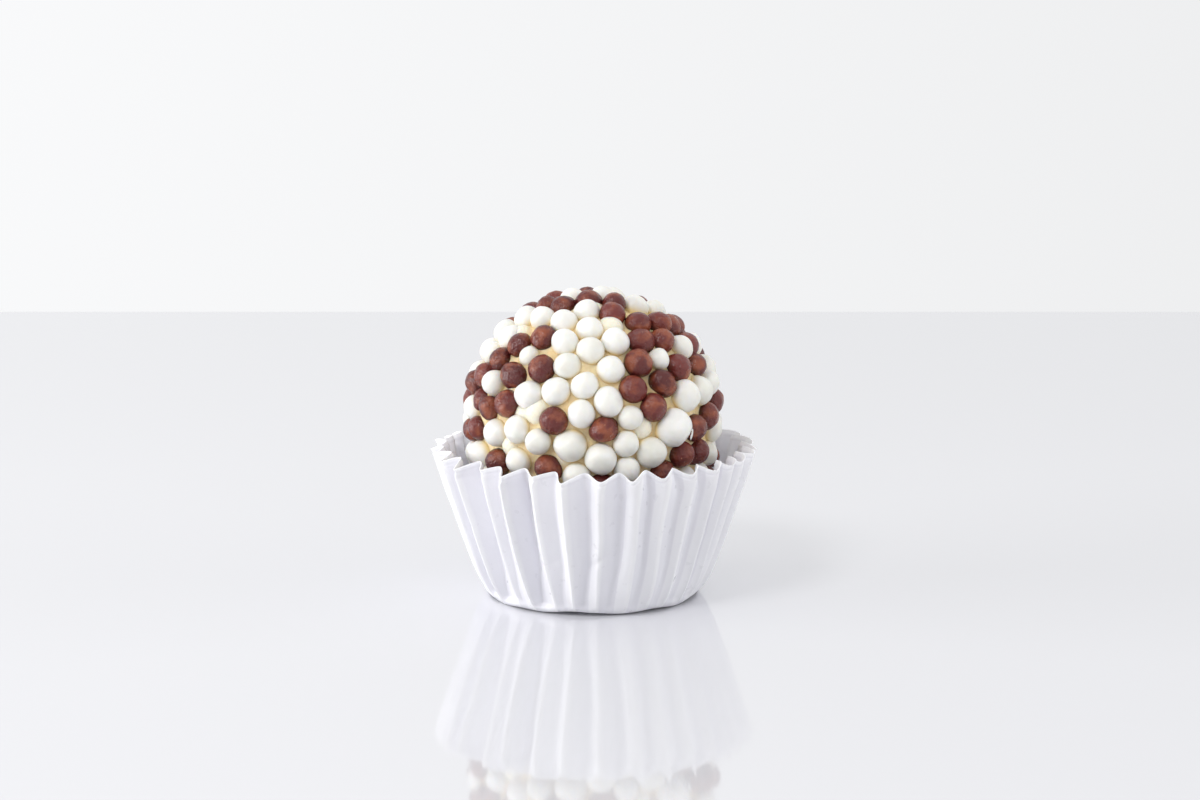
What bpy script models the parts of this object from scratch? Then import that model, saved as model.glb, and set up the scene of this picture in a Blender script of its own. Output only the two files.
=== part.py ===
"""A brigadeiro in its paper case.

A ball of cream coloured paste, coated all over in brown and white chocolate pearls, stands in a white
pleated paper case. Lengths are in metres, +Z is up and the front faces -Y. The origin is the middle of
the case's underside.
"""

import math

import bmesh
import bpy
import numpy as np
from mathutils import Vector

MM = 0.001
SEED = 11

# The case's wall. Heights and radii are those of its outer folds; the inner folds stand in and up.
PLEATS = 32
CASE_BASE_RADIUS = 12.8 * MM
CASE_HEIGHT = 17.7 * MM
CASE_LEAN = 0.34
CASE_FLARE = 1.16 * MM
CASE_FLARE_HEIGHT = 1.6 * MM
PLEAT_DEPTH = 1.8 * MM
PLEAT_FADE = 0.6
SCALLOP = 0.9 * MM
PAPER = 0.25 * MM
RING_RISES = (0.03, 0.1, 0.27, 0.58, 1.0)

# The pleats across the front, from the left: how wide each is in degrees, and how far across it its
# inner fold lies. The other pleats share what is left of the circle.
FIRST_FOLD = -65.5
FRONT_PLEATS = (
    (9.4, 0.45),
    (13.9, 0.42),
    (9.9, 0.50),
    (11.4, 0.36),
    (10.4, 0.66),
    (13.7, 0.60),
    (11.7, 0.60),
    (10.3, 0.48),
    (11.1, 0.56),
    (12.2, 0.60),
    (9.8, 0.56),
)

# The ball is an egg with its long end down. The middles of the pearls lie on a shell, and the paste's
# own surface is a little way inside it.
BALL_MIDDLE = 22.5 * MM
SHELL_RADIUS = 14.4 * MM
SHELL_RISE = 13.65 * MM
SHELL_DROP = 21.6 * MM
PASTE_DEPTH = 0.5 * MM
RESTING_GAP = 0.3 * MM

# The pearls. Candidates that keep the closeness are taken first, then pushed apart until they touch.
PEARL_RADIUS = 1.65 * MM
PEARL_SPREAD = 0.10 * MM
CANDIDATES = 9000
CLOSENESS = 0.81
TOUCHING = 0.98
SETTLING_ROUNDS = 160

# The points that shape each pearl: rings of so many points, this far out from its top
PEARL_RINGS = ((5, 0.46), (6, 0.88))


def onto_egg(points, inset):
    """Moves points, measured from the ball's middle, along their rays to the shell less an inset."""
    height = np.where(points[:, 2] < 0.0, SHELL_DROP, SHELL_RISE) - inset
    level = np.hypot(points[:, 0], points[:, 1]) / (SHELL_RADIUS - inset)
    return points / np.hypot(level, points[:, 2] / height)[:, None]


def onto_shell(points, radii):
    """Moves the middles of pearls to the shell, and up where they would sink through the case's floor."""
    placed = onto_egg(points, 0.0)
    floor = PAPER + RESTING_GAP - BALL_MIDDLE
    placed[:, 2] = np.maximum(placed[:, 2], floor + radii)
    return placed


def pearls():
    """The middles of the pearls, measured from the ball's middle, and their radii."""
    rng = np.random.RandomState(SEED)
    radii = PEARL_RADIUS + PEARL_SPREAD * rng.normal(size=CANDIDATES)
    middles = onto_shell(rng.normal(size=(CANDIDATES, 3)), radii)
    chosen = []
    for index in range(CANDIDATES):
        distances = np.linalg.norm(middles[chosen] - middles[index], axis=1)
        if np.all(distances > CLOSENESS * (radii[chosen] + radii[index])):
            chosen.append(index)
    middles, radii = middles[chosen], radii[chosen]

    touching = TOUCHING * (radii[:, None] + radii[None])
    np.fill_diagonal(touching, 0.0)
    for _ in range(SETTLING_ROUNDS):
        apart = middles[:, None] - middles[None]
        distances = np.linalg.norm(apart, axis=2) + np.eye(len(middles))
        pushes = np.clip(touching - distances, 0.0, None) / distances
        middles = onto_shell(middles + 0.5 * (apart * pushes[..., None]).sum(axis=1), radii)
    return middles, radii


def material(name, colour, roughness):
    """A plain dielectric material."""
    made = bpy.data.materials.new(name)
    made.use_nodes = True
    surface = made.node_tree.nodes["Principled BSDF"]
    surface.inputs["Base Color"].default_value = (*colour, 1.0)
    surface.inputs["Roughness"].default_value = roughness
    surface.inputs["Metallic"].default_value = 0.0
    return made


def add_object(name, shape, finish, collection):
    """Makes an object from a bmesh, with one material, in a collection."""
    mesh = bpy.data.meshes.new(name)
    shape.to_mesh(mesh)
    shape.free()
    mesh.materials.append(finish)
    made = bpy.data.objects.new(name, mesh)
    collection.objects.link(made)
    return made


def outer_fold_radius(height):
    """How far out the wall's outer folds stand at a height."""
    flare = CASE_FLARE * (1.0 - math.exp(-height / CASE_FLARE_HEIGHT))
    return CASE_BASE_RADIUS + CASE_LEAN * height + flare


def fold_points():
    """Points around the case: each an azimuth in radians, and how far in it lies, from 0 at an outer
    fold to 1 at an inner one. They start at the first azimuth past the front."""
    rng = np.random.RandomState(SEED)
    others = rng.uniform(0.86, 1.14, PLEATS - len(FRONT_PLEATS))
    others *= (360.0 - sum(width for width, _ in FRONT_PLEATS)) / others.sum()
    inner_folds = rng.uniform(0.42, 0.58, len(others))
    around = []
    azimuth = FIRST_FOLD
    for width, inner_fold in (*FRONT_PLEATS, *zip(others, inner_folds)):
        places = (0.0, 0.5 * inner_fold, inner_fold, 0.5 + 0.5 * inner_fold)
        around += [(azimuth + width * place, inward) for place, inward in zip(places, (0, 0.5, 1, 0.5))]
        azimuth += width
    return sorted((math.radians(azimuth % 360.0), inward) for azimuth, inward in around)


def wall_point(azimuth, inward, rise):
    """A point of the wall, where rise is its ring's share of the height of the outer folds."""
    height = rise * CASE_HEIGHT
    radius = outer_fold_radius(height) - PLEAT_DEPTH * rise**PLEAT_FADE * inward
    lift = SCALLOP * rise**2 * inward
    return Vector((radius * math.sin(azimuth), -radius * math.cos(azimuth), height + lift))


def azimuth_of(vertex):
    """A vertex's azimuth in radians, from the front and growing to the right."""
    return math.atan2(vertex.co.x, -vertex.co.y) % math.tau


def make_case(collection):
    """The paper case: a flat round base, and a wall of pleats that deepen towards a scalloped rim."""
    around = fold_points()
    shape = bmesh.new()
    bmesh.ops.create_circle(
        shape, cap_ends=True, cap_tris=True, radius=CASE_BASE_RADIUS, segments=len(around)
    )
    for rise in (0.0, *RING_RISES):
        edges = [edge for edge in shape.edges if edge.is_boundary]
        ring = {vertex for edge in edges for vertex in edge.verts}
        if rise:
            grown = bmesh.ops.extrude_edge_only(shape, edges=edges)["geom"]
            ring = {item for item in grown if isinstance(item, bmesh.types.BMVert)}
        for vertex, (azimuth, inward) in zip(sorted(ring, key=azimuth_of), around):
            vertex.co = wall_point(azimuth, inward, rise)
    bmesh.ops.recalc_face_normals(shape, faces=shape.faces)
    paper = material("case paper", (0.86, 0.86, 0.90), 0.45)
    case = add_object("paper_case", shape, paper, collection)
    skin = case.modifiers.new("paper", "SOLIDIFY")
    skin.thickness = PAPER
    skin.offset = -1.0


def hull_of(rays):
    """The hull around unit vectors, which joins each one to its nearest neighbours."""
    shape = bmesh.new()
    for ray in rays:
        shape.verts.new(ray)
    bmesh.ops.convex_hull(shape, input=shape.verts)
    return shape


def unit(vectors):
    """Vectors scaled to a length of one."""
    return vectors / np.linalg.norm(vectors, axis=1)[:, None]


def surface_rays(middles, radii):
    """Rays from the ball's middle to each pearl's rings, and to the paste between the pearls."""
    outward = unit(middles)
    sideways = unit(np.cross(outward, (0.0, 0.0, 1.0)))
    upward = np.cross(sideways, outward)
    rays = []
    for points, reach in PEARL_RINGS:
        for turn in np.arange(points) * math.tau / points:
            around = math.cos(turn) * sideways + math.sin(turn) * upward
            rays.append(unit(middles + reach * radii[:, None] * around))
    gaps = hull_of(outward)
    rays.append(unit(np.array([face.calc_center_median() for face in gaps.faces])))
    gaps.free()
    return np.vstack(rays)


def make_ball(collection):
    """The ball, out to the uneven outline of its pearls, with a flat foot on the case's floor."""
    middles, radii = pearls()
    rays = surface_rays(middles, radii)
    along = rays @ middles.T
    inside = radii**2 - ((middles**2).sum(axis=1) - along**2)
    far_sides = np.where(inside > 0.0, along + np.sqrt(np.maximum(inside, 0.0)), 0.0)
    paste = np.linalg.norm(onto_egg(rays, PASTE_DEPTH), axis=1)
    places = rays * np.maximum(paste, far_sides.max(axis=1))[:, None]
    places[:, 2] = np.maximum(places[:, 2] + BALL_MIDDLE, PAPER + RESTING_GAP)
    shape = hull_of(rays)
    for vertex, place in zip(shape.verts, places):
        vertex.co = place
    bmesh.ops.recalc_face_normals(shape, faces=shape.faces)
    coating = material("pearl coating", (0.62, 0.50, 0.42), 0.4)
    return add_object("brigadeiro_ball", shape, coating, collection)


def main():
    for old in list(bpy.data.objects):
        bpy.data.objects.remove(old, do_unlink=True)
    collection = bpy.data.collections.new("brigadeiro")
    bpy.context.scene.collection.children.link(collection)
    make_case(collection)
    make_ball(collection)


main()
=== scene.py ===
"""The looks of a brigadeiro in its paper case.

A ball of cream coloured paste, coated in brown and white chocolate pearls, stands in a white pleated
paper case. Lengths are in metres, +Z is up and the front faces -Y. The origin is the middle of the case's
underside. Azimuths are in degrees from the front and grow to the right; elevations are in degrees too.
"""

import math
from collections import namedtuple

import bmesh
import bpy
import numpy as np
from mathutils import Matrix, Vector, noise


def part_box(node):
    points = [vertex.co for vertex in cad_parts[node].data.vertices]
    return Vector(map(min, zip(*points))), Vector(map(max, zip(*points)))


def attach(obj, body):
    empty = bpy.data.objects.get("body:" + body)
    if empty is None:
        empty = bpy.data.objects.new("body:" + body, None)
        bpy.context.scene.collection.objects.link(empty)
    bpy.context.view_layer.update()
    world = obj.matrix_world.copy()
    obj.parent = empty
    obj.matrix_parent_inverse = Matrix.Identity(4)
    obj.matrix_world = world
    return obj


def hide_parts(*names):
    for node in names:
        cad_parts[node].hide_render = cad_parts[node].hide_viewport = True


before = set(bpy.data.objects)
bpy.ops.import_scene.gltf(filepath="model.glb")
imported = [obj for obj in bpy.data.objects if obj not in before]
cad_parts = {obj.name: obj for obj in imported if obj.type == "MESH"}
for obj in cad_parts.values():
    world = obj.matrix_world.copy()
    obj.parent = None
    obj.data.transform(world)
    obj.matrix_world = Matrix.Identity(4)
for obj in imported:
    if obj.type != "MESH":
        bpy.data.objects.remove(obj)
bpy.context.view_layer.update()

MM = 0.001
SEED = 11
ball_low, ball_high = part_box("brigadeiro_ball")

# The pearls. Those in the rows below are set first. Then, once for each closeness, candidates are added
# that come no closer to any other pearl than that share of their two radii, and all are pushed apart
# until they touch. The pearls in the rows take only a small share of each push.
WHITE_RADIUS = 1.66 * MM
WHITE_SPREAD = 0.06 * MM
BROWN_RADIUS = 1.60 * MM
BROWN_SPREAD = 0.06 * MM
MEAN_RADIUS = 0.5 * (WHITE_RADIUS + BROWN_RADIUS)
BROWN_SHARE = 0.46
CANDIDATES = 9000
CLOSENESS = (0.80, 0.77)
TOUCHING = 0.97
SETTLING_ROUNDS = 160
HELD_SHARE = 0.1
# How unevenly deep they lie in the paste
DEPTH_SPREAD = 0.10 * MM
# Up to this height above the paste's own surface a pearl gets its full foot colour, and above it that fades.
# The white pearls are painted golden there, partly paste clinging to them and partly painted golden bounce
# light from the paste; the brown pearls are painted darker there, a painted shade.
FOOT_HEIGHT = 0.35 * MM
FOOT_FADE = 0.95 * MM

# The ball is an egg with its long end down. The middles of the pearls lie on a shell, and the paste's
# own surface is a little way inside it.
SHELL_RADIUS = 0.5 * (ball_high.x - ball_low.x) - MEAN_RADIUS
SHELL_RISE = 13.6 * MM
SHELL_DROP = 21.6 * MM
BALL_MIDDLE = ball_high.z - MEAN_RADIUS - SHELL_RISE
BALL_FLOOR = ball_low.z - BALL_MIDDLE

# Rows of pearls on the side that shows: the azimuth and elevation of the first pearl and of the last, how
# many there are, and their diameter in millimetres.
BROWN_ROWS = (
    (30, 66, 52, 41, 3, 3.3),
    (34, 41, 22, 19, 3, 3.45),
    (48, 29, 29, 10, 3, 3.4),
    (65, 53, 115, 38, 4, 3.2),
    (87, 8, 56, -3, 3, 3.4),
    (60, -15, 47, -14, 2, 3.4),
    (34, -19, 34, -19, 1, 3.4),
    (74, 27, 74, 27, 1, 3.1),
    (105, 27, 105, 27, 1, 3.2),
    (88, -22, 88, -22, 1, 3.1),
    (118, 61, 118, 61, 1, 3.2),
    (-165, 79, -140, 67, 2, 3.2),
    (-50, 71, -50, 71, 1, 3.1),
    (-95, 66, -125, 68, 2, 3.2),
    (-108, 56, -103, 45, 2, 3.2),
    (-37, 40, -66, 31, 3, 3.2),
    (-71, 24, -90, 4, 3, 3.15),
    (-27, 31, -45, 29, 2, 3.45),
    (-43, 12, -43, 12, 1, 3.45),
    (-58, 8, -71, 8, 2, 2.9),
    (-72, -5, -72, -5, 1, 2.9),
    (-53, -19, -53, -19, 1, 3.3),
    (-16, 5, -16, 5, 1, 3.45),
    (7, 3, 7, 3, 1, 3.3),
    (-22, -18, -22, -18, 1, 3.3),
    (5, -22, 5, -22, 1, 3.1),
)
WHITE_ROWS = (
    (17, 43, 8, 16, 3, 3.5),
    (-2, 51, -4, 23, 3, 3.45),
    (-17, 42, -11, 32, 2, 3.25),
    (-18, 20, -31, 20, 2, 3.55),
    (-26, 58, -78, 56, 3, 3.3),
    (-10, 69, -10, 69, 1, 3.2),
    (-5, 9, -5, 9, 1, 3.3),
    (17, 7, 17, -18, 3, 3.15),
    (-10, -5, 4, -12, 2, 3.9),
    (-27, -5, -27, -5, 1, 3.1),
    (-37, -1, -52, -4, 2, 3.4),
    (29, -11, 29, -11, 1, 3.8),
    (35, 0, 35, 0, 1, 4.6),
    (50, 15, 70, 17, 2, 3.75),
    (63, 38, 94, 34, 2, 3.2),
    (38, 35, 38, 35, 1, 2.7),
    (92, 20, 92, 20, 1, 3.3),
    (80, -8, 97, -6, 2, 3.3),
    (76, -17, 76, -17, 1, 3.1),
    (-88, -18, -97, -6, 2, 3.4),
    (-70, -17, -70, -17, 1, 3.4),
    (-55, 19, -55, 19, 1, 3.2),
    (-39, 35, -39, 35, 1, 2.6),
    (-38, -16, -38, -16, 1, 3.3),
    (-84, 44, -92, 31, 2, 3.3),
    (50, -22, 66, -26, 2, 3.2),
    (-7, -21, -7, -21, 1, 3.4),
    (-95, 79, 60, 87, 2, 3.3),
    (143, 72, 143, 72, 1, 3.2),
    (80, 68, 92, 56, 2, 3.3),
)
# In front, up to this azimuth on either side and between these elevations, all pearls are in the rows;
# elsewhere, random ones are added.
ROWS_REACH = 64
ROWS_FOOT = -24
ROWS_CROWN = 64

# Pearls that are drawn out to a blunt point: the azimuth and elevation of the pearl and, seen from its
# middle, those of its point, and how far it stands out as a share of the radius
POINTED_PEARLS = (
    (35, 0, 92, -10, 0.09),
    (29, -11, 86, 3, 0.14),
    (50, 15, 95, -8, 0.08),
    (-22, -18, 60, -25, 0.10),
)
# How blunt the points are, and the cosine of the angle within which a pearl counts as the one meant
BLUNTNESS = 0.14
SAME_PEARL = 0.998

# The pearl with a chipped shell; where on it the chip lies and how far it reaches, in degrees; how deep it
# is; how rough its floor is, as a share of the radius; and how wide its edge is, as a change of cosine
CHIPPED_PEARL = (35, 0)
CHIP_RAY = (86, -34)
CHIP_REACH = 31
CHIP_DEPTH = 0.20 * MM
CHIP_ROUGHNESS = 0.012
CHIP_EDGE = 0.012

# The loose flake of shell: where it stands, seen from the middle of the chipped pearl; half its length,
# width and thickness; how far off the pearl its middle stands, and how much more or less its ends do
FLAKE_RAY = (74, -17)
FLAKE_LENGTH = 0.66 * MM
FLAKE_WIDTH = 0.42 * MM
FLAKE_THICKNESS = 0.055 * MM
FLAKE_GAP = 0.22 * MM
FLAKE_TILT = 0.10 * MM

# Pearls that the paste covers: azimuth, elevation, and the radius and how deep they lie in millimetres
COVERED_PEARLS = (
    (24, 1, 1.5, 0.9),
    (17, 57, 1.6, 0.7),
    (-44, -10, 1.5, 0.9),
    (-28, 9, 1.8, 0.9),
    (-36, 7, 1.3, 0.9),
    (-45, 20, 1.3, 0.9),
    (-14, -15, 1.4, 1.3),
    (0, 75, 1.5, 0.9),
    (-66, 46, 1.6, 0.8),
)

# The paste. It rises towards the foot of each pearl, which starts at a share of the pearl's radius, and
# its surface swells and ripples.
PASTE_DEPTH = 0.40 * MM
PASTE_CUTS = 120
MENISCUS_START = 0.92
MENISCUS_HEIGHT = 0.36 * MM
MENISCUS_WIDTH = 0.32 * MM
MENISCUS_LIMIT = 0.75 * MM
SWELL_HEIGHT = 0.28 * MM
SWELL_LENGTH = 2.6 * MM
RIPPLE_HEIGHT = 0.05 * MM
RIPPLE_LENGTH = 0.7 * MM
# Round a covered pearl the paste forms a fillet, and where it stands this high over the pearl it is painted
# fully pale, a painted light on the raised bump
COVER_FILLET = 0.35 * MM
COVER_HEIGHT = 0.5 * MM
# Distances to all pearls are worked out for this many points at once.
POINTS_AT_ONCE = 8192

# The case's wall. Heights and radii are those of its outer folds; the inner folds stand in and up.
PAPER = 0.12 * MM
PLEATS = 32
CASE_BASE_RADIUS = 12.8 * MM
CASE_HEIGHT = 17.7 * MM
CASE_LEAN = 0.34
CASE_FLARE = 1.16 * MM
CASE_FLARE_HEIGHT = 1.6 * MM
PLEAT_DEPTH = 2.2 * MM
PLEAT_FADE = 0.42
RIM_DEPTH = 2.2 * MM
SCALLOP = 0.8 * MM
CREST_DROP = 0.3 * MM
# The wall's rings stand close together up to the first of these heights, and above the other two
WALL_FOOT_TOP = 1.4 * MM
RIM_START = 15.9 * MM
HEM_START = 16.8 * MM

# The rounding of the wall's corners: the least share of its sides that it takes at an outer fold, the
# most that it takes anywhere, and the places along it that get points
FOLD_ROUND = 0.15
ROUNDEST = 0.45
CORNER_SHARES = (0.0, 1 / 3, 2 / 3, 1.0)
# Painted light on the paper at a pleat's four corners: its outer fold, the middle of its first facet, its
# inner fold and the edge of the next crest. Above nought the paper is painted lighter, mostly a painted
# highlight on the folds and crests and partly the paper whitened where it was pressed; below nought it is
# painted darker, a painted shade in the hollow of the pleat.
CORNER_PAINTED_LIGHT = (1.0, -0.1, -0.3, 0.6)

# The wear of the wall: how far bends and dents move it in and out and how far it sways aside, how long
# each of these is, and a shift so that the sway doesn't follow the bends. The line pressed along the hem:
# how far below the rim it lies, its width and its depth; and how far the hem above it turns out, and over
# what height. How wide the small creases are.
BEND_DEPTH = 0.10 * MM
BEND_LENGTH = 4.5 * MM
DENT_DEPTH = 0.035 * MM
DENT_LENGTH = 1.5 * MM
SWAY_WIDTH = 0.20 * MM
SWAY_LENGTH = 5.0 * MM
SWAY_SHIFT = Vector((7.0, 3.0, 5.0))
LINE_DROP = 0.5 * MM
LINE_WIDTH = 0.12 * MM
LINE_DEPTH = 0.09 * MM
HEM_FLARE = 0.05 * MM
HEM_HEIGHT = 0.3 * MM
CREASE_WIDTH = 0.28 * MM

# The case's base. How far its edge clears the table in front, how uneven that is, how quickly it changes
# on the way round, and over what height it fades from the wall. The base's rings, from the edge inwards:
# how far out each lies and how far it clears the table, as shares of what the edge does.
BASE_CLEARANCE = 0.32 * MM
BASE_UNEVENNESS = 1.3
BASE_WAVES = 2.6
BASE_CURL = 2.0 * MM
BASE_RINGS = ((0.985, 1.2), (0.95, 1.5), (0.85, 1.5), (0.70, 0.9), (0.50, 0.0))

# Where a pleat's outer fold lies at the rim, on the wall's side and at its foot, in degrees. How far out
# the fold stands and how far up it and its crest's other edge reach, in millimetres. How wide the crest
# is, in degrees. How deep the pleat is, as a share of the usual depth; how far across it the inner fold
# lies at the rim and on the side; how far its first facet bulges, in millimetres; and how round its folds
# are.
Pleat = namedtuple(
    "Pleat", "rim side foot out lift crest_lift crest depth rim_hollow side_hollow bulge round"
)
FRONT_PLEATS = (
    Pleat(-65.0, -65.5, -65.5, 0.0, 0.0, 0.0, 1.5, 1.15, 0.45, 0.34, 0.00, 0.30),
    Pleat(-54.6, -56.2, -54.8, 0.0, -0.3, -0.2, 1.2, 1.40, 0.40, 0.42, 0.00, 0.18),
    Pleat(-41.4, -42.1, -41.3, -0.3, 0.3, 0.3, 1.2, 0.60, 0.58, 0.50, 0.02, 0.18),
    Pleat(-31.6, -33.5, -31.6, 0.1, 0.0, 0.0, 1.0, 1.50, 0.43, 0.56, 0.00, 0.18),
    Pleat(-20.2, -21.4, -19.4, -0.3, 0.3, 0.2, 1.2, 0.50, 0.70, 0.72, 0.03, 0.18),
    Pleat(-10.1, -10.6, -9.8, 0.0, -0.3, -0.2, 1.0, 0.80, 0.58, 0.72, 0.18, 0.30),
    Pleat(3.4, 2.4, 1.6, 0.0, -0.1, 0.0, 1.5, 0.80, 0.52, 0.64, 0.22, 0.40),
    Pleat(16.8, 16.8, 16.8, 0.1, 1.0, -0.5, 3.3, 0.66, 0.34, 0.50, 0.02, 0.34),
    Pleat(27.3, 27.3, 28.6, 0.0, 1.0, -0.4, 1.8, 0.50, 0.32, 0.58, 0.05, 0.34),
    Pleat(38.2, 38.2, 39.0, 0.0, 1.0, -0.3, 1.4, 0.66, 0.34, 0.52, 0.00, 0.30),
    Pleat(49.4, 49.4, 50.4, 0.0, 0.9, -0.3, 1.4, 0.70, 0.36, 0.50, 0.00, 0.30),
    Pleat(58.5, 58.0, 60.0, 0.0, 0.7, -0.2, 1.3, 0.74, 0.40, 0.50, 0.00, 0.30),
)
# Small creases in the paper: azimuth, height, length, lean in degrees and depth, lengths in millimetres
CREASES = (
    (1.5, 7.2, 2.6, 55, -0.26),
    (-16.5, 7.2, 1.4, 70, -0.20),
    (52.0, 10.6, 3.2, 14, 0.24),
    (33.0, 10.5, 3.6, 22, -0.08),
    (-62.0, 9.0, 2.6, 40, 0.12),
    (86.0, 6.5, 2.8, 60, -0.14),
    (118.0, 12.0, 3.2, -30, 0.14),
    (150.0, 5.5, 2.2, 65, -0.14),
    (187.0, 9.5, 3.4, 35, 0.14),
    (221.0, 7.5, 2.6, -50, -0.14),
    (262.0, 11.5, 3.0, 25, 0.12),
)

# The table's left, right, near and far edges
TABLE_EDGES = (-1.2, 1.2, -1.2, 0.24)

# The room's brightness, how it changes along X, Y and Z, and how it changes with X times Y
ROOM_LEVEL = 0.84
ROOM_SLOPE = (0.10, 0.08, 0.02)
ROOM_TWIST = -0.31

# The soft lights: name, place, width, height, power in watts, and whether they show in reflections. They
# all face one point in the part.
SOFTBOXES = (
    ("key", (-0.690, -0.139, 0.115), 0.56, 0.34, 3.5, True),
    ("window", (-0.30, -0.43, 0.52), 0.20, 0.15, 1.5, True),
    ("fill", (0.690, -0.050, 0.130), 0.50, 0.34, 1.1, False),
)
LIT_POINT = Vector((0.0, 0.0, 0.02))

# The camera: where it stands, how far down it looks in degrees, and its lens and sensor in millimetres
CAMERA_PLACE = (0.00087, -0.31899, 0.08042)
CAMERA_DIP = 10.08
CAMERA_LENS = 80.0
CAMERA_SENSOR = 36.0


# ---------------------------------------------------------------- directions and the ball's egg


def direction(azimuth, elevation):
    """The unit vector towards an azimuth and an elevation."""
    turn, climb = math.radians(azimuth), math.radians(elevation)
    level = math.cos(climb)
    return np.array((math.sin(turn) * level, -math.cos(turn) * level, math.sin(climb)))


def row_of_directions(first_azimuth, first_elevation, last_azimuth, last_elevation, count):
    """Directions evenly spaced along the great circle from the first to the last."""
    first = direction(first_azimuth, first_elevation)
    last = direction(last_azimuth, last_elevation)
    if count == 1:
        return [first]
    whole = math.acos(np.clip(first @ last, -1.0, 1.0))
    shares = np.linspace(0.0, 1.0, count)
    return [
        (math.sin((1.0 - share) * whole) * first + math.sin(share * whole) * last) / math.sin(whole)
        for share in shares
    ]


def unit(vectors):
    """Vectors scaled to a length of one."""
    return vectors / np.linalg.norm(vectors, axis=-1, keepdims=True)


def onto_egg(points, inset):
    """Moves points, measured from the ball's middle, along their rays to the shell less an inset."""
    height = np.where(points[:, 2] < 0.0, SHELL_DROP, SHELL_RISE) - inset
    level = np.hypot(points[:, 0], points[:, 1]) / (SHELL_RADIUS - inset)
    return points / np.hypot(level, points[:, 2] / height)[:, None]


def onto_shell(points, radii):
    """Moves the middles of pearls to the shell, and up where they would sink through the case's floor."""
    placed = onto_egg(points, 0.0)
    placed[:, 2] = np.maximum(placed[:, 2], BALL_FLOOR + radii)
    return placed


# ---------------------------------------------------------------- where the pearls lie


def pearls(rng):
    """The middles of the pearls, measured from the ball's middle, their radii, and which are brown."""
    held_rays, held_radii, held_brown = [], [], []
    for rows, is_brown in ((BROWN_ROWS, True), (WHITE_ROWS, False)):
        for *ends, count, diameter in rows:
            held_rays += row_of_directions(*ends, count)
            held_radii += [0.5 * diameter * MM] * count
            held_brown += [is_brown] * count
    held = len(held_rays)

    rays = np.vstack((held_rays, unit(rng.normal(size=(CANDIDATES, 3)))))
    azimuths = np.degrees(np.arctan2(rays[:, 0], -rays[:, 1]))
    elevations = np.degrees(np.arcsin(rays[:, 2]))
    in_rows = (np.abs(azimuths) < ROWS_REACH) & (elevations > ROWS_FOOT) & (elevations < ROWS_CROWN)
    brown = rng.uniform(size=len(rays)) < BROWN_SHARE
    spread = rng.normal(size=len(rays))
    radii = np.where(brown, BROWN_RADIUS + BROWN_SPREAD * spread, WHITE_RADIUS + WHITE_SPREAD * spread)
    brown[:held] = held_brown
    radii[:held] = held_radii
    middles = onto_shell(rays, radii)

    chosen = list(range(held))
    for closeness in CLOSENESS:
        for index in range(held, len(middles)):
            distances = np.linalg.norm(middles[chosen] - middles[index], axis=1)
            if not in_rows[index] and np.all(distances > closeness * (radii[chosen] + radii[index])):
                chosen.append(index)
        middles[chosen] = settled(middles[chosen], radii[chosen], held)
    return middles[chosen], radii[chosen], brown[chosen]


def settled(middles, radii, held):
    """The middles of pearls pushed apart until they touch, where the first ones are held nearly still."""
    touching = TOUCHING * (radii[:, None] + radii[None])
    np.fill_diagonal(touching, 0.0)
    for _ in range(SETTLING_ROUNDS):
        apart = middles[:, None] - middles[None]
        distances = np.linalg.norm(apart, axis=2) + np.eye(len(middles))
        pushes = np.clip(touching - distances, 0.0, None) / distances
        moves = 0.5 * (apart * pushes[..., None]).sum(axis=1)
        moves[:held] *= HELD_SHARE
        middles = onto_shell(middles + moves, radii)
    return middles


# ---------------------------------------------------------------- meshes


def add_piece(name, points, faces, finish, slot, *nodes):
    """Makes a smooth shaded piece that rides on the part and stands for CAD nodes."""
    mesh = bpy.data.meshes.new(name)
    mesh.from_pydata(points, [], faces)
    mesh.materials.append(finish)
    mesh.shade_smooth()
    piece = bpy.data.objects.new(name, mesh)
    bpy.context.scene.collection.objects.link(piece)
    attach(piece, "root")
    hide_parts(*nodes)
    return piece


def add_values(piece, name, values):
    """Gives a piece an attribute with a value for each of its points."""
    made = piece.data.attributes.new(name, "FLOAT", "POINT")
    made.data.foreach_set("value", np.asarray(values, dtype=np.float32))


def round_ball(subdivisions):
    """The points and triangles of a round ball with a radius of one."""
    shape = bmesh.new()
    bmesh.ops.create_icosphere(shape, subdivisions=subdivisions, radius=1.0)
    points = np.array([vertex.co for vertex in shape.verts])
    faces = np.array([[vertex.index for vertex in face.verts] for face in shape.faces])
    shape.free()
    return unit(points), faces


def waves(points, rng, count, lowest, highest):
    """A random smooth field over points, with values mostly between -1 and 1."""
    field = np.zeros(len(points))
    for _ in range(count):
        ray = unit(rng.normal(size=3))
        pitch = rng.uniform(lowest, highest)
        field += np.sin(pitch * (points @ ray) + rng.uniform(0.0, math.tau))
    return field / math.sqrt(count)


def stretched(shape, rng, least, most, thinning):
    """A pearl's shape drawn out or squashed along a random axis, and thinned as it is drawn out."""
    axis = unit(rng.normal(size=3))
    stretch = rng.uniform(least, most)
    shape = shape * (1.0 - thinning * stretch)
    return shape + stretch * (shape @ axis)[:, None] * axis


def white_pearl(ball, rng):
    """A white pearl with a radius of one: nearly round, with soft flats where it was pressed."""
    lumps = 0.019 * waves(ball, rng, 5, 1.5, 4.5)
    grain = 0.0035 * waves(ball, rng, 8, 8.0, 16.0)
    size = 1.0 + lumps + grain
    flat_depth, flat_edge = 0.06, 0.82
    for _ in range(4):
        towards = ball @ unit(rng.normal(size=3))
        size -= flat_depth * np.clip(towards - flat_edge, 0.0, None) / (1.0 - flat_edge)
    return stretched(ball * size[:, None], rng, -0.06, 0.11, 0.0)


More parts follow.
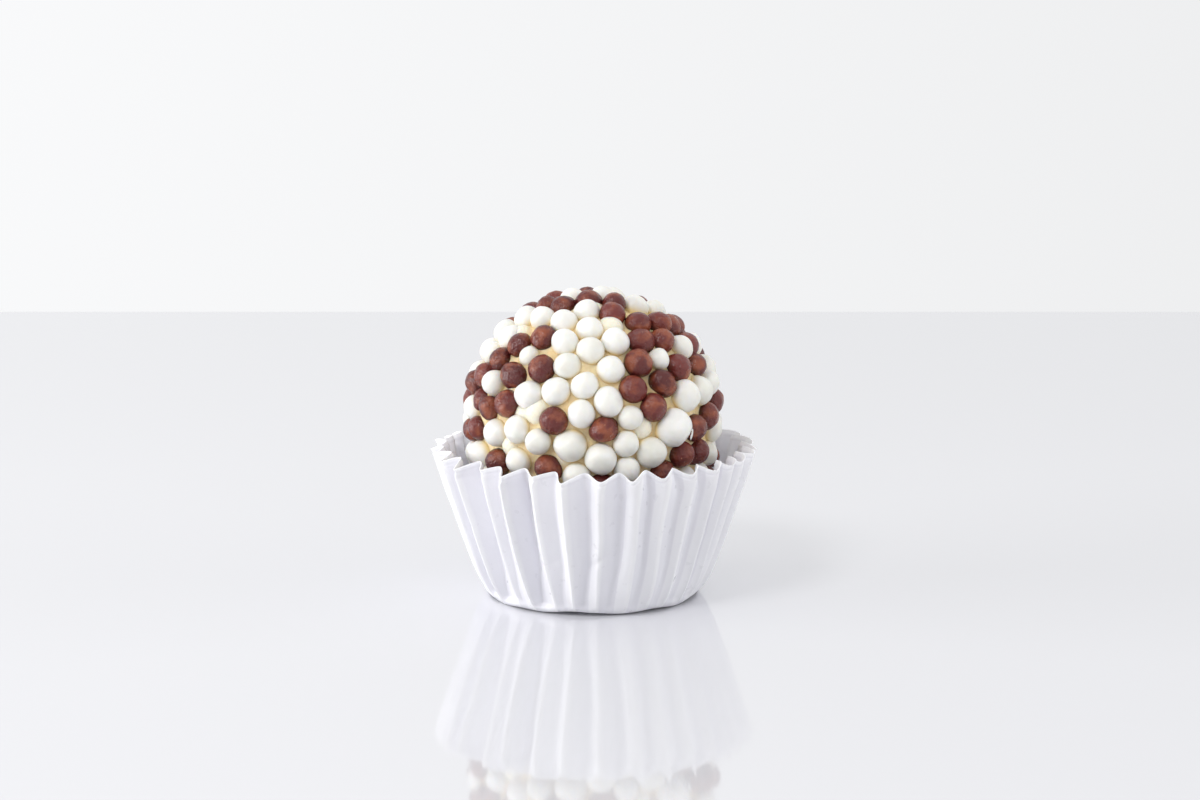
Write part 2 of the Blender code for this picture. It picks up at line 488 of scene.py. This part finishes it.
def brown_pearl(ball, rng):
    """A brown pearl with a radius of one: lumpier, dimpled and wrinkled."""
    lumps = 0.034 * waves(ball, rng, 6, 2.0, 5.5)
    wrinkles = 0.012 * waves(ball, rng, 8, 9.0, 17.0)
    size = 1.0 + lumps + wrinkles
    for _ in range(rng.randint(1, 4)):
        towards = ball @ unit(rng.normal(size=3))
        dimple_depth = rng.uniform(0.03, 0.07)
        size -= dimple_depth * np.exp((towards - 1.0) / 0.05)
    return stretched(ball * size[:, None], rng, -0.06, 0.18, 0.3)


def drawn_out(shape, middle):
    """The shape of a pearl, drawn out to its blunt point if it is one of those that have one."""
    for azimuth, elevation, tip_azimuth, tip_elevation, length in POINTED_PEARLS:
        if unit(middle) @ direction(azimuth, elevation) > SAME_PEARL:
            towards = unit(shape) @ direction(tip_azimuth, tip_elevation)
            shape = shape * (1.0 + length * np.exp((towards - 1.0) / BLUNTNESS))[:, None]
    return shape


def add_coating(name, points, faces, finish, slot):
    """Adds pearls whose points are measured from the ball's middle. Their attribute is highest at the paste's
    own surface and lower the further they stand clear of it; it paints the white pearls golden, partly paste
    clinging to them and partly painted bounce light from the paste, and the brown pearls darker, a painted
    shade."""
    clear = np.linalg.norm(points, axis=1) - np.linalg.norm(onto_egg(points, PASTE_DEPTH), axis=1)
    foot = (1.0 - (clear - FOOT_HEIGHT) / FOOT_FADE).clip(0.0, 1.0) ** 2
    lifted = points + (0.0, 0.0, BALL_MIDDLE)
    piece = add_piece(name, lifted.tolist(), faces.tolist(), finish, slot, "brigadeiro_ball")
    add_values(piece, "foot", foot)


def make_chipped_pearl(middle, radius, finish, rng):
    """The pearl whose shell is chipped: its surface steps in across a jagged line."""
    ball, triangles = round_ball(5)
    shape = drawn_out(white_pearl(ball, rng), middle)
    jags = 0.030 * waves(ball, rng, 6, 8.0, 16.0) + 0.014 * waves(ball, rng, 8, 22.0, 45.0)
    inside = ball @ direction(*CHIP_RAY) - math.cos(math.radians(CHIP_REACH)) + jags
    broken = CHIP_ROUGHNESS * waves(ball, rng, 8, 15.0, 40.0)
    step = (inside / CHIP_EDGE).clip(0.0, 1.0) * (CHIP_DEPTH / radius + broken)
    points = middle + radius * shape * (1.0 - step)[:, None]
    add_coating("chipped_pearl", points, triangles, finish, "white_pearl")


def make_flake(middle, radius, finish):
    """The flake of shell that stands off the chipped pearl: a thin curved sliver with an uneven edge."""
    out = direction(*FLAKE_RAY)
    back = unit(np.cross(out, (0.0, 0.0, 1.0)))
    down = np.cross(out, back)
    long_steps, wide_steps = 48, 20
    points = []
    for layer in (1.0, -1.0):
        for along in np.linspace(-1.0, 1.0, long_steps + 1):
            unevenness = 1.0 + 0.22 * math.sin(5.0 * along) + 0.1 * math.sin(13.0 * along)
            width = FLAKE_WIDTH * (1.0 - along**4) * unevenness
            for across in np.linspace(-1.0, 1.0, wide_steps + 1):
                ray = unit(out * radius + down * FLAKE_LENGTH * along + back * width * across)
                fullness = math.sqrt(max(1.0 - across**2, 0.0)) * (1.0 - along**8)
                gap = FLAKE_GAP + FLAKE_TILT * along + layer * FLAKE_THICKNESS * fullness
                points.append(middle + ray * (radius + gap))
    row = wide_steps + 1
    sheet = (long_steps + 1) * row
    faces = []
    for first in range(sheet - row):
        if first % row < wide_steps:
            quad = (first, first + 1, first + row + 1, first + row)
            faces.append(quad)
            faces.append(tuple(corner + sheet for corner in reversed(quad)))
    points = np.array(points) + (0.0, 0.0, BALL_MIDDLE)
    flake = add_piece("shell_flake", points.tolist(), faces, finish, "white_pearl", "brigadeiro_ball")
    shape = bmesh.new()
    shape.from_mesh(flake.data)
    bmesh.ops.remove_doubles(shape, verts=shape.verts, dist=0.002 * MM)
    bmesh.ops.recalc_face_normals(shape, faces=shape.faces)
    shape.to_mesh(flake.data)
    shape.free()


def make_pearls(name, middles, radii, form, finish, slot, rng):
    """All the pearls of one kind, each with a form of its own, as one joined piece."""
    ball, triangles = round_ball(4)
    points, faces = [], []
    for number, (middle, radius) in enumerate(zip(middles, radii)):
        points.append(middle + radius * drawn_out(form(ball, rng), middle))
        faces.append(triangles + number * len(ball))
    add_coating(name, np.vstack(points), np.vstack(faces), finish, slot)


def even_rays(cuts):
    """Rays spread evenly over a cube's sides, and the faces that join them."""
    shape = bmesh.new()
    bmesh.ops.create_cube(shape, size=2.0)
    bmesh.ops.subdivide_edges(shape, edges=shape.edges, cuts=cuts, use_grid_fill=True)
    points = np.array([vertex.co for vertex in shape.verts])
    faces = [[vertex.index for vertex in face.verts] for face in shape.faces]
    shape.free()
    return unit(np.tan(points * math.pi / 4.0)), faces


def smooth_max(first, second, blend):
    """The larger of two heights, with a fillet where they cross."""
    share = np.clip(0.5 + 0.5 * (first - second) / blend, 0.0, 1.0)
    return second + (first - second) * share + blend * share * (1.0 - share)


def make_paste(middles, radii, finish):
    """The paste: an uneven egg that rises round each pearl and covers some of them."""
    rays, faces = even_rays(PASTE_CUTS)
    points = onto_egg(rays, PASTE_DEPTH)
    feet = onto_egg(middles, PASTE_DEPTH)
    rng = np.random.RandomState(SEED + 1)
    heights = MENISCUS_HEIGHT * rng.uniform(0.5, 1.5, len(radii))
    rise = np.empty(len(points))
    for start in range(0, len(points), POINTS_AT_ONCE):
        stretch = slice(start, start + POINTS_AT_ONCE)
        distances = np.linalg.norm(points[stretch, None] - feet[None], axis=2)
        reach = np.clip(distances - MENISCUS_START * radii, 0.0, None)
        rise[stretch] = (heights * np.exp(-reach / MENISCUS_WIDTH)).sum(axis=1)
    rise = MENISCUS_LIMIT * (1.0 - np.exp(-rise / MENISCUS_LIMIT))
    # How far the paste climbs each pearl; it also paints the paste amber there, a painted shade in the
    # crevices
    meniscus_shade = rise / MENISCUS_LIMIT
    lengths = np.linalg.norm(points, axis=1) + rise
    for height, length in ((SWELL_HEIGHT, SWELL_LENGTH), (RIPPLE_HEIGHT, RIPPLE_LENGTH)):
        lengths += height * np.array([noise.noise(Vector(point) / length) for point in points])

    # How high the paste stands raised over covered pearls; it paints the paste pale there, a painted light
    painted_bump_light = np.zeros(len(points))
    for azimuth, elevation, radius, depth in COVERED_PEARLS:
        ray = direction(azimuth, elevation)[None]
        middle = onto_egg(ray, depth * MM)[0]
        along = rays @ middle
        inside = (radius * MM) ** 2 - (middle @ middle - along**2)
        far_side = along + np.sqrt(np.maximum(inside, 0.0))
        covered = np.where(inside > 0.0, smooth_max(lengths, far_side, COVER_FILLET), lengths)
        painted_bump_light = np.maximum(painted_bump_light, (covered - lengths) / COVER_HEIGHT)
        lengths = covered

    points = rays * lengths[:, None]
    points[:, 2] = np.maximum(points[:, 2], BALL_FLOOR)
    points[:, 2] += BALL_MIDDLE
    paste = add_piece("paste", points.tolist(), faces, finish, "paste", "brigadeiro_ball")
    add_values(paste, "painted_bump_light", painted_bump_light.clip(0.0, 1.0))
    add_values(paste, "meniscus_shade", meniscus_shade)


# ---------------------------------------------------------------- the paper case


def smooth_step(low, high, value):
    """Rises smoothly from 0 at low to 1 at high."""
    share = min(max((value - low) / (high - low), 0.0), 1.0)
    return share * share * (3.0 - 2.0 * share)


def outer_fold_radius(height):
    """How far out the wall's outer folds stand at a height."""
    flare = CASE_FLARE * (1.0 - math.exp(-height / CASE_FLARE_HEIGHT))
    return CASE_BASE_RADIUS + CASE_LEAN * height + flare


def pleat_plan(rng):
    """The pleats round the case: those across the front, then others like them."""
    first, last = FRONT_PLEATS[0].side, FRONT_PLEATS[-1].side
    gaps = rng.uniform(0.82, 1.18, PLEATS - len(FRONT_PLEATS) + 1)
    azimuths = last + (360.0 + first - last) * np.cumsum(gaps)[:-1] / gaps.sum()
    plan = list(FRONT_PLEATS)
    for side in azimuths:
        lift = rng.uniform(-0.2, 0.7)
        plan.append(
            Pleat(
                side + rng.uniform(-1.2, 1.2),
                side,
                side + rng.uniform(-1.5, 1.5),
                rng.uniform(-0.25, 0.1),
                lift,
                min(lift, rng.uniform(-0.3, 0.3)),
                rng.uniform(1.0, 3.6),
                rng.uniform(0.6, 1.15),
                rng.uniform(0.32, 0.6),
                rng.uniform(0.35, 0.65),
                rng.uniform(-0.06, 0.18),
                rng.uniform(0.35, 0.5),
            )
        )
    return plan


def ring_heights():
    """The heights of the wall's rings, closer together at its foot and along its rim."""
    foot = np.linspace(0.0, WALL_FOOT_TOP, 10, endpoint=False)
    side = np.linspace(WALL_FOOT_TOP, RIM_START, 37, endpoint=False)
    rim = np.linspace(RIM_START, HEM_START, 6, endpoint=False)
    hem = np.linspace(HEM_START, CASE_HEIGHT, 10)
    return np.concatenate((foot, side, rim, hem))


def fold_azimuth(pleat, rise):
    """Where a pleat's outer fold lies at a share of the wall's height, in degrees."""
    towards_rim = smooth_step(0.91, 1.0, rise)
    towards_foot = smooth_step(0.5, 0.05, rise)
    return pleat.side + (pleat.rim - pleat.side) * towards_rim + (pleat.foot - pleat.side) * towards_foot


def around_case(azimuth, radius, height):
    """A point at an azimuth in degrees, a radius and a height."""
    turn = math.radians(azimuth)
    return Vector((radius * math.sin(turn), -radius * math.cos(turn), height))


def wall_corners(pleats, height):
    """The corners of the wall's outline at a height, each with how much of its sides its rounding takes.
    The pleats fold up from the base's edge, and towards the rim they open and their folds part in height."""
    rise = height / CASE_HEIGHT
    radius = outer_fold_radius(height)
    folding = smooth_step(0.01, 0.08, rise)
    opening = smooth_step(0.84, 1.0, rise)
    parting = rise**4
    side_depth = PLEAT_DEPTH * rise**PLEAT_FADE * folding * (1.0 - opening)
    rim_depth = RIM_DEPTH * opening
    corners = []
    for number, pleat in enumerate(pleats):
        after = pleats[(number + 1) % PLEATS]
        start = fold_azimuth(pleat, rise)
        width = (fold_azimuth(after, rise) - start) % 360.0
        # Near the foot the inner folds lie closer to the outer folds before them.
        hollow = pleat.side_hollow + (pleat.rim_hollow - pleat.side_hollow) * opening
        hollow = max(hollow - 0.2 * smooth_step(0.4, 0.1, rise), 0.2)
        # The crests widen towards the rim, but leave room for the facets before them.
        crest = min(after.crest + 2.0 * after.round * opening, 0.55 * (1.0 - hollow) * width)
        fold = radius + pleat.out * MM * folding
        next_fold = radius + after.out * MM * folding
        # The pleats differ less in depth at the rim than on the side.
        depth = pleat.depth * side_depth + (0.55 + 0.45 * pleat.depth) * rim_depth
        inner = 0.5 * (fold + next_fold) - depth
        middle = 0.5 * (fold + inner) + pleat.bulge * MM * folding
        crest_edge = next_fold - CREST_DROP * folding
        up = height + pleat.lift * MM * parting
        inner_up = height + SCALLOP * parting
        middle_up = 0.5 * (up + inner_up) + 0.4 * pleat.round * MM * parting
        crest_up = height + after.crest_lift * MM * parting
        fold_round = FOLD_ROUND + pleat.round * (0.2 + 0.4 * opening)
        inner_round = min(pleat.round * (1.0 + opening), ROUNDEST)
        corners += [
            (around_case(start, fold, up), fold_round),
            (around_case(start + 0.5 * width * hollow, middle, middle_up), ROUNDEST),
            (around_case(start + width * hollow, inner, inner_up), inner_round),
            (around_case(start + width - crest, crest_edge, crest_up), ROUNDEST),
        ]
    return corners


def rounded(corners):
    """The points of a closed outline with its corners rounded, and one point between corners."""
    points = []
    for number, (corner, soft) in enumerate(corners):
        before = corners[number - 1][0]
        after, after_soft = corners[(number + 1) % len(corners)]
        first = corner.lerp(before, soft)
        last = corner.lerp(after, soft)
        for share in CORNER_SHARES:
            points.append(first.lerp(corner, share).lerp(corner.lerp(last, share), share))
        points.append(last.lerp(after.lerp(corner, after_soft), 0.5))
    return points


def crease_depth(point):
    """How far out the small creases move a point of the wall."""
    azimuth = math.degrees(math.atan2(point.x, -point.y))
    depth = 0.0
    for crease_azimuth, height, length, lean, crease in CREASES:
        turn = math.radians((azimuth - crease_azimuth + 180.0) % 360.0 - 180.0)
        across = turn * math.hypot(point.x, point.y)
        up = point.z - height * MM
        tilt = math.radians(lean)
        along = (up * math.cos(tilt) + across * math.sin(tilt)) / (0.5 * length * MM)
        beside = (across * math.cos(tilt) - up * math.sin(tilt)) / CREASE_WIDTH
        depth += crease * MM * math.exp(-(along**2) - beside**2)
    return depth


def pressed_line(height):
    """How much the line pressed along the hem shows at a height: 1 in its middle and 0 away from it."""
    return math.exp(-(((CASE_HEIGHT - height - LINE_DROP) / LINE_WIDTH) ** 2))


def worn(point, height):
    """Moves a point of the wall by the paper's small bends and creases and the line along its hem."""
    out = Vector((point.x, point.y, 0.0)).normalized()
    aside = Vector((-out.y, out.x, 0.0))
    rise = height / CASE_HEIGHT
    loose = smooth_step(0.04, 0.3, rise)
    below_rim = smooth_step(1.0, 0.9, rise)
    bend = BEND_DEPTH * noise.noise(point / BEND_LENGTH) + DENT_DEPTH * noise.noise(point / DENT_LENGTH)
    sway = SWAY_WIDTH * noise.noise(point / SWAY_LENGTH + SWAY_SHIFT) * loose * below_rim
    hem = HEM_FLARE * smooth_step(HEM_HEIGHT, 0.0, CASE_HEIGHT - height)
    outward = bend * loose - LINE_DEPTH * pressed_line(height) + hem + crease_depth(point)
    return point + out * outward + aside * sway


def fold_painted_light(column, height):
    """The painted light at a point of the wall: a painted highlight on the outer folds, their crests and the
    hem, and painted shade in the inner folds and along the pressed line.
    """
    corner, place = divmod(column, len(CORNER_SHARES) + 1)
    share, next_share = CORNER_PAINTED_LIGHT[corner % 4], CORNER_PAINTED_LIGHT[(corner + 1) % 4]
    if place == len(CORNER_SHARES):
        share = 0.5 * (share + next_share)
    # Painted highlight along the hem, and painted shade along the pressed line below it
    hem = smooth_step(1.5 * HEM_HEIGHT, HEM_HEIGHT, CASE_HEIGHT - height)
    return share + 0.6 * hem - 0.5 * pressed_line(height)


def band(below, above, count):
    """The faces between two closed rings, each given by its first point."""
    turned = [(column, (column + 1) % count) for column in range(count)]
    return [(below + first, below + second, above + second, above + first) for first, second in turned]


def make_case(finish):
    """The case: a flat base and a wall of thin pleated paper, from one sheet of points."""
    pleats = pleat_plan(np.random.RandomState(SEED))
    heights = ring_heights()
    points = []
    for height in heights:
        points += [worn(point, height) for point in rounded(wall_corners(pleats, height))]
    count = len(points) // len(heights)
    for point in points:
        around = Vector((point.x, point.y, 0.0)).normalized()
        frontness = 0.6 - 0.4 * around.y
        unevenness = 1.0 + BASE_UNEVENNESS * noise.noise(BASE_WAVES * around)
        clearance = BASE_CLEARANCE * frontness * unevenness
        point.z = max(point.z, 0.0) + clearance * math.exp(-point.z / BASE_CURL)
    faces = []
    for ring in range(len(heights) - 1):
        faces += band(ring * count, (ring + 1) * count, count)
    edge = 0
    for share, clear in BASE_RINGS:
        start = len(points)
        points += [Vector((point.x * share, point.y * share, point.z * clear)) for point in points[:count]]
        faces += band(start, edge, count)
        edge = start
    middle = len(points)
    points.append(Vector((0.0, 0.0, 0.0)))
    faces += [(edge + (column + 1) % count, edge + column, middle) for column in range(count)]
    case = add_piece("pleated_case", points, faces, finish, "case_paper", "paper_case")
    # Painted highlight on the folds, crests and hem and painted shade in the inner folds and pressed line;
    # none on the base
    painted_fold_light = [fold_painted_light(column, height) for height in heights for column in range(count)]
    painted_fold_light += [0.0] * (len(points) - len(painted_fold_light))
    add_values(case, "fold", painted_fold_light)
    skin = case.modifiers.new("paper", "SOLIDIFY")
    skin.thickness = PAPER
    skin.offset = -1.0


# ---------------------------------------------------------------- materials


def new_material(name, colour, roughness):
    """A material with its own shader, ready for the nodes that vary it."""
    made = bpy.data.materials.new(name)
    made.use_nodes = True
    surface = made.node_tree.nodes["Principled BSDF"]
    surface.inputs["Base Color"].default_value = (*colour, 1.0)
    surface.inputs["Roughness"].default_value = roughness
    return made, made.node_tree, surface


def noise_node(tree, scale, detail=3.0, distortion=0.0):
    """A noise over the piece's own space, where a scale of one is one cycle in a millimetre."""
    place = tree.nodes.new("ShaderNodeTexCoord")
    made = tree.nodes.new("ShaderNodeTexNoise")
    made.inputs["Scale"].default_value = scale / MM
    made.inputs["Detail"].default_value = detail
    made.inputs["Distortion"].default_value = distortion
    tree.links.new(place.outputs["Object"], made.inputs["Vector"])
    return made.outputs["Fac"]


def ramp_node(tree, value, *stops):
    """Colours or grey levels along a value, each stop being a place and a colour."""
    made = tree.nodes.new("ShaderNodeValToRGB")
    elements = made.color_ramp.elements
    while len(elements) < len(stops):
        elements.new(0.5)
    for element, (place, colour) in zip(elements, stops):
        element.position = place
        element.color = (*colour, 1.0) if isinstance(colour, tuple) else (colour, colour, colour, 1.0)
    tree.links.new(value, made.inputs["Fac"])
    return made.outputs["Color"]


def mix_node(tree, factor, first, second, way="MIX"):
    """Mixes two colours."""
    made = tree.nodes.new("ShaderNodeMix")
    made.data_type = "RGBA"
    made.blend_type = way
    for name, value in (("Factor", factor), ("A", first), ("B", second)):
        socket = made.inputs[name]
        if isinstance(value, bpy.types.NodeSocket):
            tree.links.new(value, socket)
        else:
            socket.default_value = value
    return made.outputs["Result"]


def math_node(tree, operation, first, second, third=None):
    """One step of arithmetic."""
    made = tree.nodes.new("ShaderNodeMath")
    made.operation = operation
    for socket, value in zip(made.inputs, (first, second, third)):
        if isinstance(value, bpy.types.NodeSocket):
            tree.links.new(value, socket)
        elif value is not None:
            socket.default_value = value
    return made.outputs["Value"]


def attribute_node(tree, name):
    """A value that the piece's mesh carries."""
    made = tree.nodes.new("ShaderNodeAttribute")
    made.attribute_name = name
    return made.outputs["Fac"]


def island_node(tree):
    """A random value for each pearl of a joined piece."""
    return tree.nodes.new("ShaderNodeNewGeometry").outputs["Random Per Island"]


def vary_roughness(tree, surface, value, low, high):
    """Makes a surface's roughness follow a noise."""
    gloss = ramp_node(tree, value, (0.3, low), (0.7, high))
    tree.links.new(gloss, surface.inputs["Roughness"])


def add_relief(tree, surface, *layers):
    """Gives a surface layers of relief, each with its heights and how deep they are, the coarsest first."""
    relief = surface.inputs["Normal"]
    for heights, depth in reversed(layers):
        made = tree.nodes.new("ShaderNodeBump")
        made.inputs["Distance"].default_value = depth
        tree.links.new(heights, made.inputs["Height"])
        tree.links.new(made.outputs["Normal"], relief)
        relief = made.inputs["Normal"]


def scatter_light(surface, weight, radius, scale):
    """Lets light spread under a surface: how much of it, how far its red, green and blue go, and a scale."""
    surface.inputs["Subsurface Weight"].default_value = weight
    surface.inputs["Subsurface Radius"].default_value = radius
    surface.inputs["Subsurface Scale"].default_value = scale


def paste_material():
    made, tree, surface = new_material("condensed milk paste", (0.84, 0.70, 0.40), 0.34)
    clouds = noise_node(tree, 0.3, 4.0)
    golden = ramp_node(tree, clouds, (0.3, (0.80, 0.585, 0.30)), (0.7, (0.875, 0.74, 0.47)))
    # Painted shade: where the paste climbs the pearls, in the crevices between them, it is painted a darker
    # amber
    edges = ramp_node(tree, attribute_node(tree, "meniscus_shade"), (0.35, 0.0), (0.9, 0.75))
    crevice_shaded = mix_node(tree, edges, golden, (0.70, 0.42, 0.12, 1.0))
    # Painted light: the paste is painted pale where it stands raised over covered pearls
    bump_lit = mix_node(tree, attribute_node(tree, "painted_bump_light"), crevice_shaded, (0.90, 0.86, 0.72, 1.0))
    tree.links.new(bump_lit, surface.inputs["Base Color"])
    vary_roughness(tree, surface, noise_node(tree, 1.4), 0.16, 0.38)
    coarse = noise_node(tree, 1.6, 4.0, 0.8)
    fine = noise_node(tree, 5.0, 2.0, 1.5)
    add_relief(tree, surface, (coarse, 0.12 * MM), (fine, 0.03 * MM))
    scatter_light(surface, 0.6, (1.0, 0.8, 0.5), 0.7 * MM)
    surface.inputs["IOR"].default_value = 1.46
    return made


def white_pearl_material():
    made, tree, surface = new_material("white chocolate pearl", (0.90, 0.89, 0.86), 0.36)
    shade = ramp_node(tree, island_node(tree), (0.0, (0.80, 0.795, 0.745)), (1.0, (0.87, 0.865, 0.84)))
    clouds = noise_node(tree, 0.9, 4.0)
    blotches = ramp_node(tree, clouds, (0.35, (0.95, 0.945, 0.925)), (0.65, (1.0, 1.0, 1.0)))
    clean = mix_node(tree, 1.0, shade, blotches, "MULTIPLY")
    # Golden at the foot: partly paste clinging to the pearl and partly painted golden bounce light from the
    # paste
    foot = attribute_node(tree, "foot")
    tree.links.new(mix_node(tree, foot, clean, (0.84, 0.66, 0.32, 1.0)), surface.inputs["Base Color"])
    vary_roughness(tree, surface, noise_node(tree, 1.1), 0.30, 0.46)
    coarse = noise_node(tree, 1.1, 3.0)
    fine = noise_node(tree, 6.0, 2.0)
    add_relief(tree, surface, (coarse, 0.05 * MM), (fine, 0.007 * MM))
    scatter_light(surface, 0.6, (1.0, 0.85, 0.65), 0.6 * MM)
    surface.inputs["IOR"].default_value = 1.45
    return made


def brown_pearl_material():
    made, tree, surface = new_material("brown chocolate pearl", (0.14, 0.037, 0.028), 0.34)
    shade = ramp_node(tree, island_node(tree), (0.0, (0.095, 0.014, 0.012)), (1.0, (0.170, 0.031, 0.025)))
    scuffs = ramp_node(tree, noise_node(tree, 0.5, 2.5, 0.4), (0.48, 0.0), (0.66, 0.85))
    worn_coat = mix_node(tree, scuffs, shade, (0.30, 0.08, 0.035, 1.0))
    specks = ramp_node(tree, noise_node(tree, 3.2, 2.0), (0.71, 0.0), (0.77, 0.6))
    speckled = mix_node(tree, specks, worn_coat, (0.52, 0.24, 0.13, 1.0))
    # Painted shade: each brown pearl is painted nearly black at its foot, where it meets the paste
    foot = math_node(tree, "MULTIPLY", attribute_node(tree, "foot"), 0.8)
    tree.links.new(mix_node(tree, foot, speckled, (0.03, 0.006, 0.005, 1.0)), surface.inputs["Base Color"])
    vary_roughness(tree, surface, noise_node(tree, 1.2, 4.0), 0.10, 0.30)
    coarse = noise_node(tree, 1.5, 4.0)
    fine = noise_node(tree, 5.0, 3.0)
    add_relief(tree, surface, (coarse, 0.26 * MM), (fine, 0.045 * MM))
    scatter_light(surface, 0.1, (1.0, 0.35, 0.2), 0.4 * MM)
    surface.inputs["IOR"].default_value = 1.48
    return made


def paper_material():
    made, tree, surface = new_material("white case paper", (0.84, 0.84, 0.895), 0.34)
    clouds = ramp_node(tree, noise_node(tree, 0.35, 4.0), (0.3, 0.0), (0.7, 0.12))
    # Painted highlight and shade: the fold attribute makes folds, crests and hem lighter, inner folds and
    # pressed line darker
    painted_light = math_node(tree, "MULTIPLY_ADD", attribute_node(tree, "fold"), 0.5, 0.5)
    shades = ((0.0, (0.75, 0.745, 0.81)), (0.5, (0.825, 0.82, 0.89)), (1.0, (0.95, 0.95, 1.0)))
    shade = ramp_node(tree, painted_light, *shades)
    tree.links.new(mix_node(tree, clouds, shade, (0.88, 0.88, 0.93, 1.0)), surface.inputs["Base Color"])
    vary_roughness(tree, surface, noise_node(tree, 0.8), 0.26, 0.42)
    coarse = noise_node(tree, 0.7, 3.0, 0.4)
    fine = noise_node(tree, 6.0, 3.0)
    add_relief(tree, surface, (coarse, 0.05 * MM), (fine, 0.004 * MM))
    scatter_light(surface, 0.6, (1.0, 1.0, 1.0), 0.4 * MM)
    return made


def table_material():
    made, _, surface = new_material("pale table", (0.705, 0.705, 0.73), 0.05)
    surface.inputs["IOR"].default_value = 2.2
    return made


# ---------------------------------------------------------------- stage, lights and camera


def make_table():
    """A plain pale table whose far edge lies a little way behind the part."""
    left, right, near, far = TABLE_EDGES
    corners = [(left, near, 0.0), (right, near, 0.0), (right, far, 0.0), (left, far, 0.0)]
    mesh = bpy.data.meshes.new("table")
    mesh.from_pydata(corners, [], [(0, 1, 2, 3)])
    mesh.materials.append(table_material())
    table = bpy.data.objects.new("table", mesh)
    bpy.context.scene.collection.objects.link(table)


def add_softbox(name, place, width, height, power, shows_in_gloss):
    """A soft white light that faces the part, hidden from the camera and, if so asked, from reflections."""
    lamp = bpy.data.lights.new(name, "AREA")
    lamp.shape = "RECTANGLE"
    lamp.size = width
    lamp.size_y = height
    lamp.energy = power
    box = bpy.data.objects.new(name, lamp)
    box.visible_camera = False
    box.visible_glossy = shows_in_gloss
    box.location = place
    box.rotation_euler = (LIT_POINT - Vector(place)).to_track_quat("-Z", "Y").to_euler()
    bpy.context.scene.collection.objects.link(box)


def make_surroundings():
    """A white room that is brighter behind on the left and in front on the right."""
    world = bpy.data.worlds.new("studio")
    world.use_nodes = True
    tree = world.node_tree
    sky = tree.nodes["Background"]
    sky.inputs["Color"].default_value = (0.985, 0.99, 1.0, 1.0)
    place = tree.nodes.new("ShaderNodeTexCoord").outputs["Generated"]
    slope = tree.nodes.new("ShaderNodeVectorMath")
    slope.operation = "DOT_PRODUCT"
    slope.inputs[1].default_value = ROOM_SLOPE
    tree.links.new(place, slope.inputs[0])
    parts = tree.nodes.new("ShaderNodeSeparateXYZ")
    tree.links.new(place, parts.inputs["Vector"])
    level = math_node(tree, "ADD", slope.outputs["Value"], ROOM_LEVEL)
    twist = math_node(tree, "MULTIPLY", parts.outputs["X"], parts.outputs["Y"])
    tree.links.new(math_node(tree, "MULTIPLY_ADD", twist, ROOM_TWIST, level), sky.inputs["Strength"])
    bpy.context.scene.world = world


def make_camera():
    """The camera stands in front and a little above, and looks slightly down at the part."""
    lens = bpy.data.cameras.new("camera")
    lens.lens = CAMERA_LENS
    lens.sensor_width = CAMERA_SENSOR
    lens.clip_start = 0.01
    camera = bpy.data.objects.new("camera", lens)
    camera.location = CAMERA_PLACE
    camera.rotation_euler = (math.radians(90.0 - CAMERA_DIP), 0.0, 0.0)
    bpy.context.scene.collection.objects.link(camera)
    bpy.context.scene.camera = camera


def main():
    rng = np.random.RandomState(SEED)
    middles, radii, brown = pearls(rng)
    depths = rng.normal(size=len(radii)).clip(-2.0, 2.0) * DEPTH_SPREAD
    make_paste(middles, radii, paste_material())
    middles = middles + unit(middles) * depths[:, None]
    white = white_pearl_material()
    chipped = np.argmax(unit(middles) @ direction(*CHIPPED_PEARL))
    make_chipped_pearl(middles[chipped], radii[chipped], white, rng)
    make_flake(middles[chipped], radii[chipped], white)
    whole = np.arange(len(radii)) != chipped
    for name, slot, form, finish, kind in (
        ("white_pearls", "white_pearl", white_pearl, white, whole & ~brown),
        ("brown_pearls", "brown_pearl", brown_pearl, brown_pearl_material(), brown),
    ):
        make_pearls(name, middles[kind], radii[kind], form, finish, slot, rng)
    make_case(paper_material())
    make_table()
    make_surroundings()
    for softbox in SOFTBOXES:
        add_softbox(*softbox)
    make_camera()
    bpy.context.scene.view_settings.view_transform = "Standard"


main()
